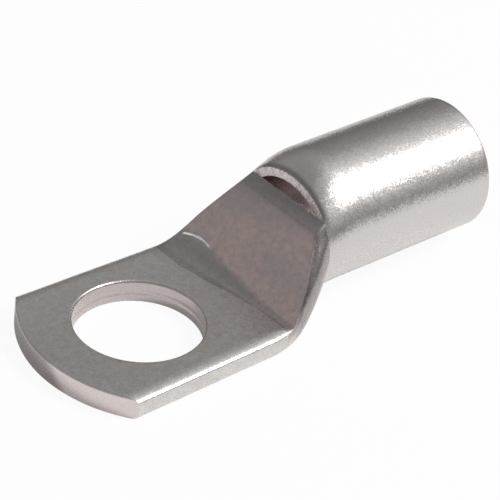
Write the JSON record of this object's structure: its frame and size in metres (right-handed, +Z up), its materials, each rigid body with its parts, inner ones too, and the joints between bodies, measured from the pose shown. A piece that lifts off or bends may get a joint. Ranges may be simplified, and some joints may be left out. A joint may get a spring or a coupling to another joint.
{
  "type": "tube cable lug",
  "caption": "Tinned copper tube terminal: a flat palm with a stud hole, a sloped transition with a crescent sight opening, and a round barrel for a cable.",
  "frame": {"origin": "centre of the stud hole, on the palm's underside", "axes": "+X from the stud hole to the open end of the barrel, +Z up out of the palm's upper face"},
  "size_m": [0.0512, 0.0198, 0.0143],
  "materials": {
    "tinned_copper": "satin tin plate on copper tube, grey with a faint warm cast"
  },
  "bodies": {
    "root": {"cable_lug": "tinned_copper"}
  },
  "joints": []
}
